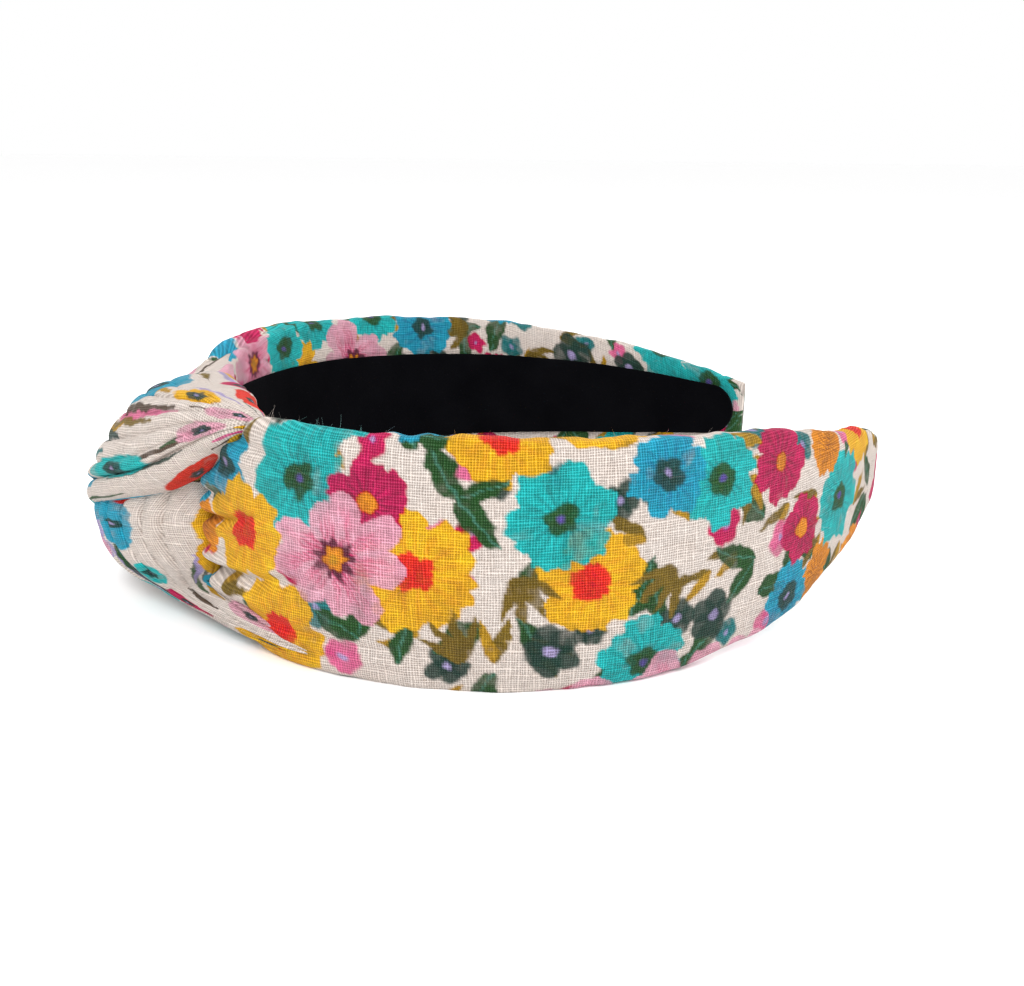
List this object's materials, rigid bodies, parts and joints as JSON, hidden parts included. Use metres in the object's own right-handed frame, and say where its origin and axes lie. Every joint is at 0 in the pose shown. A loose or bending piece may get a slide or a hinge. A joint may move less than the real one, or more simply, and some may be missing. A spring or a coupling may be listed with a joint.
{
  "type": "knotted headband",
  "caption": "Wide padded headband in printed cotton gauze, tied in a twisted knot at the crown, tapering to squared tips and lined with black velvet.",
  "frame": {"origin": "centre of the bounding box in plan, at the level of the edges that the headband lies on", "axes": "+X from the knot to the open ends, +Y to the left arm, +Z across the band, away from the surface that it lies on"},
  "size_m": [0.1664, 0.1452, 0.0441],
  "materials": {
    "printed_gauze": "watercolour floral print on white double gauze, matte with a visible open weave",
    "velvet": "black velvet, short pile",
    "band_plastic": "unfinished moulded plastic, out of sight",
    "padding": "soft open-cell foam, out of sight"
  },
  "bodies": {
    "crown": {"core_crown": "band_plastic", "lining_crown": "velvet", "knot_over_wrap": "printed_gauze", "knot_under_wrap": "printed_gauze", "gather_left": "printed_gauze", "gather_right": "printed_gauze"},
    "left_arm": {"cover_left_arm": "printed_gauze", "core_left_arm": "band_plastic", "foam_left_arm": "padding", "lining_left_arm": "velvet"},
    "right_arm": {"cover_right_arm": "printed_gauze", "core_right_arm": "band_plastic", "foam_right_arm": "padding", "lining_right_arm": "velvet"}
  },
  "joints": [
    {"name": "left_arm_flex", "type": "hinge", "parent": "crown", "child": "left_arm", "pos_m": [-0.05116, 0.04193, 0.0218], "axis": [0, 0, 1], "range_deg": [0, 12], "stiffness_Nm_per_rad": 1.27},
    {"name": "right_arm_flex", "type": "hinge", "parent": "crown", "child": "right_arm", "pos_m": [-0.05116, -0.04193, 0.0218], "axis": [0, 0, -1], "range_deg": [0, 12], "stiffness_Nm_per_rad": 1.27}
  ]
}
